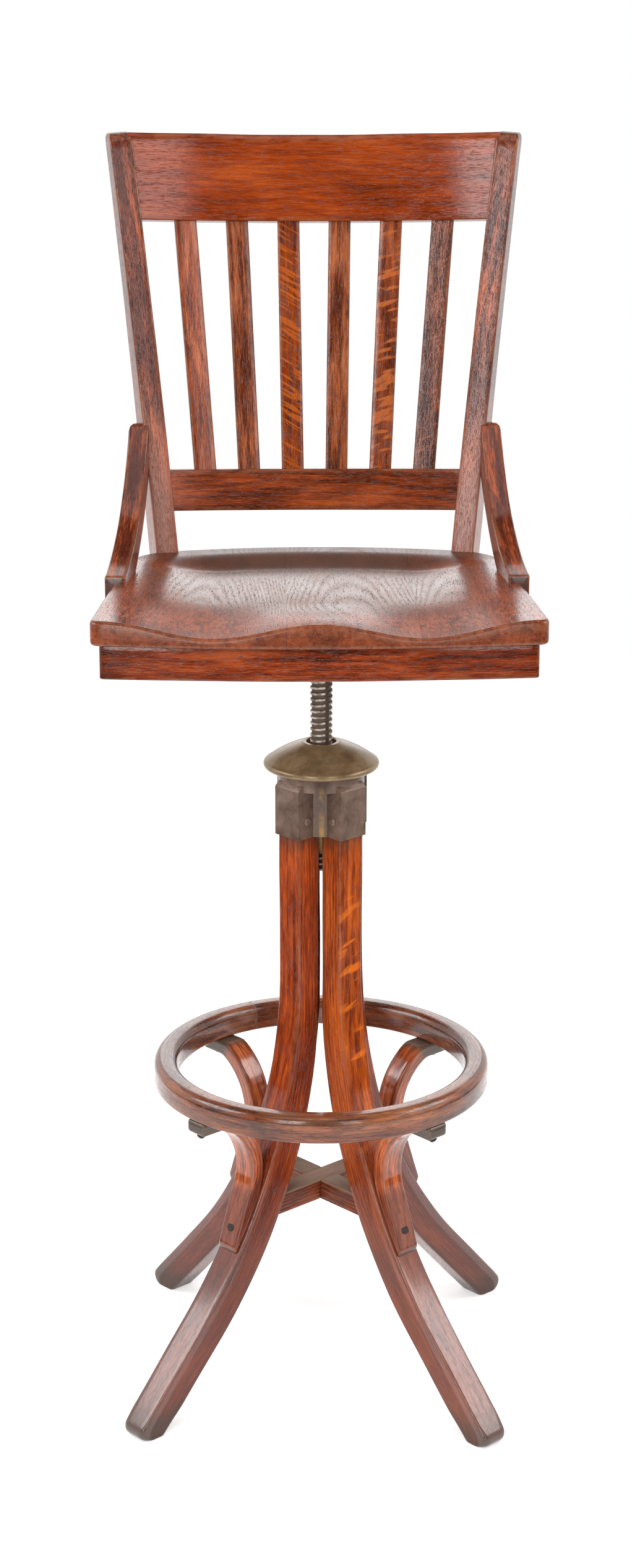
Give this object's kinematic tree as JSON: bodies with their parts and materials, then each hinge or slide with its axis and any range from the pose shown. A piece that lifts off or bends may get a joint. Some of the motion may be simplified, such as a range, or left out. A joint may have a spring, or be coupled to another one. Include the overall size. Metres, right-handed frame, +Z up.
{
  "type": "draughtsman chair",
  "caption": "Tall wooden draughtsman's chair with a saddle seat and slatted back that swivels and rises on a screw, over bent legs with a round foot ring.",
  "frame": {"origin": "on the floor under the middle of the chair's bounding box; the lifting screw stands 26.2 mm nearer the front and 4.5 mm to the right", "axes": "+Z up, -Y towards the front of the seat, +X to the right of someone looking at the front"},
  "size_m": [0.4428, 0.4927, 1.31],
  "materials": {
    "leg_oak": "stained, varnished, worn",
    "ring_oak": "varnish worn through on top",
    "seat_oak": "stained, glossy varnish",
    "back_oak": "stained, glossy varnish",
    "collar_iron": "dark, aged",
    "dome_iron": "brown patina",
    "screw_steel": "bare, worn",
    "fixing_iron": "dark, aged"
  },
  "bodies": {
    "base": {"leg_front_left": "leg_oak", "leg_front_right": "leg_oak", "leg_back_right": "leg_oak", "leg_back_left": "leg_oak", "ring_bracket_front_left": "leg_oak", "ring_bracket_front_right": "leg_oak", "ring_bracket_back_right": "leg_oak", "ring_bracket_back_left": "leg_oak", "cross_stretcher_over": "leg_oak", "cross_stretcher_under": "leg_oak", "foot_ring": "ring_oak", "ring_screws": "fixing_iron", "bracket_screws": "fixing_iron", "leg_collar": "collar_iron", "collar_rivets": "collar_iron"},
    "hub": {"hub_nut": "collar_iron"},
    "dome": {"hub_dome": "dome_iron", "screw_key": "dome_iron"},
    "seat": {"height_screw": "screw_steel", "seat_iron": "collar_iron", "seat_iron_screws": "fixing_iron", "seat": "seat_oak", "apron_front": "seat_oak", "apron_back": "seat_oak", "apron_left": "seat_oak", "apron_right": "seat_oak", "back_post_left": "back_oak", "back_post_right": "back_oak", "crest_rail": "back_oak", "lower_rail": "back_oak", "side_brace_left": "back_oak", "side_brace_right": "back_oak", "brace_screws": "fixing_iron", "slat_1": "back_oak", "slat_2": "back_oak", "slat_3": "back_oak", "slat_4": "back_oak", "slat_5": "back_oak", "slat_6": "back_oak"}
  },
  "joints": [
    {"name": "seat_swivel", "type": "hinge", "parent": "base", "child": "hub", "pos_m": [0.0045, -0.0262, 0.006], "axis": [0, 0, 1], "continuous": true},
    {"name": "height_turn", "type": "hinge", "parent": "hub", "child": "dome", "pos_m": [0.0045, -0.0262, 0.006], "axis": [0, 0, 1], "range_deg": [-6125, 4325]},
    {"name": "screw_lift", "type": "slide", "parent": "dome", "child": "seat", "axis": [0, 0, 1], "range_m": [-0.10795, 0.0762]}
  ],
  "couplings": [
    {"joint": "height_turn", "follows": "screw_lift", "rad_per_m": 989.48}
  ]
}
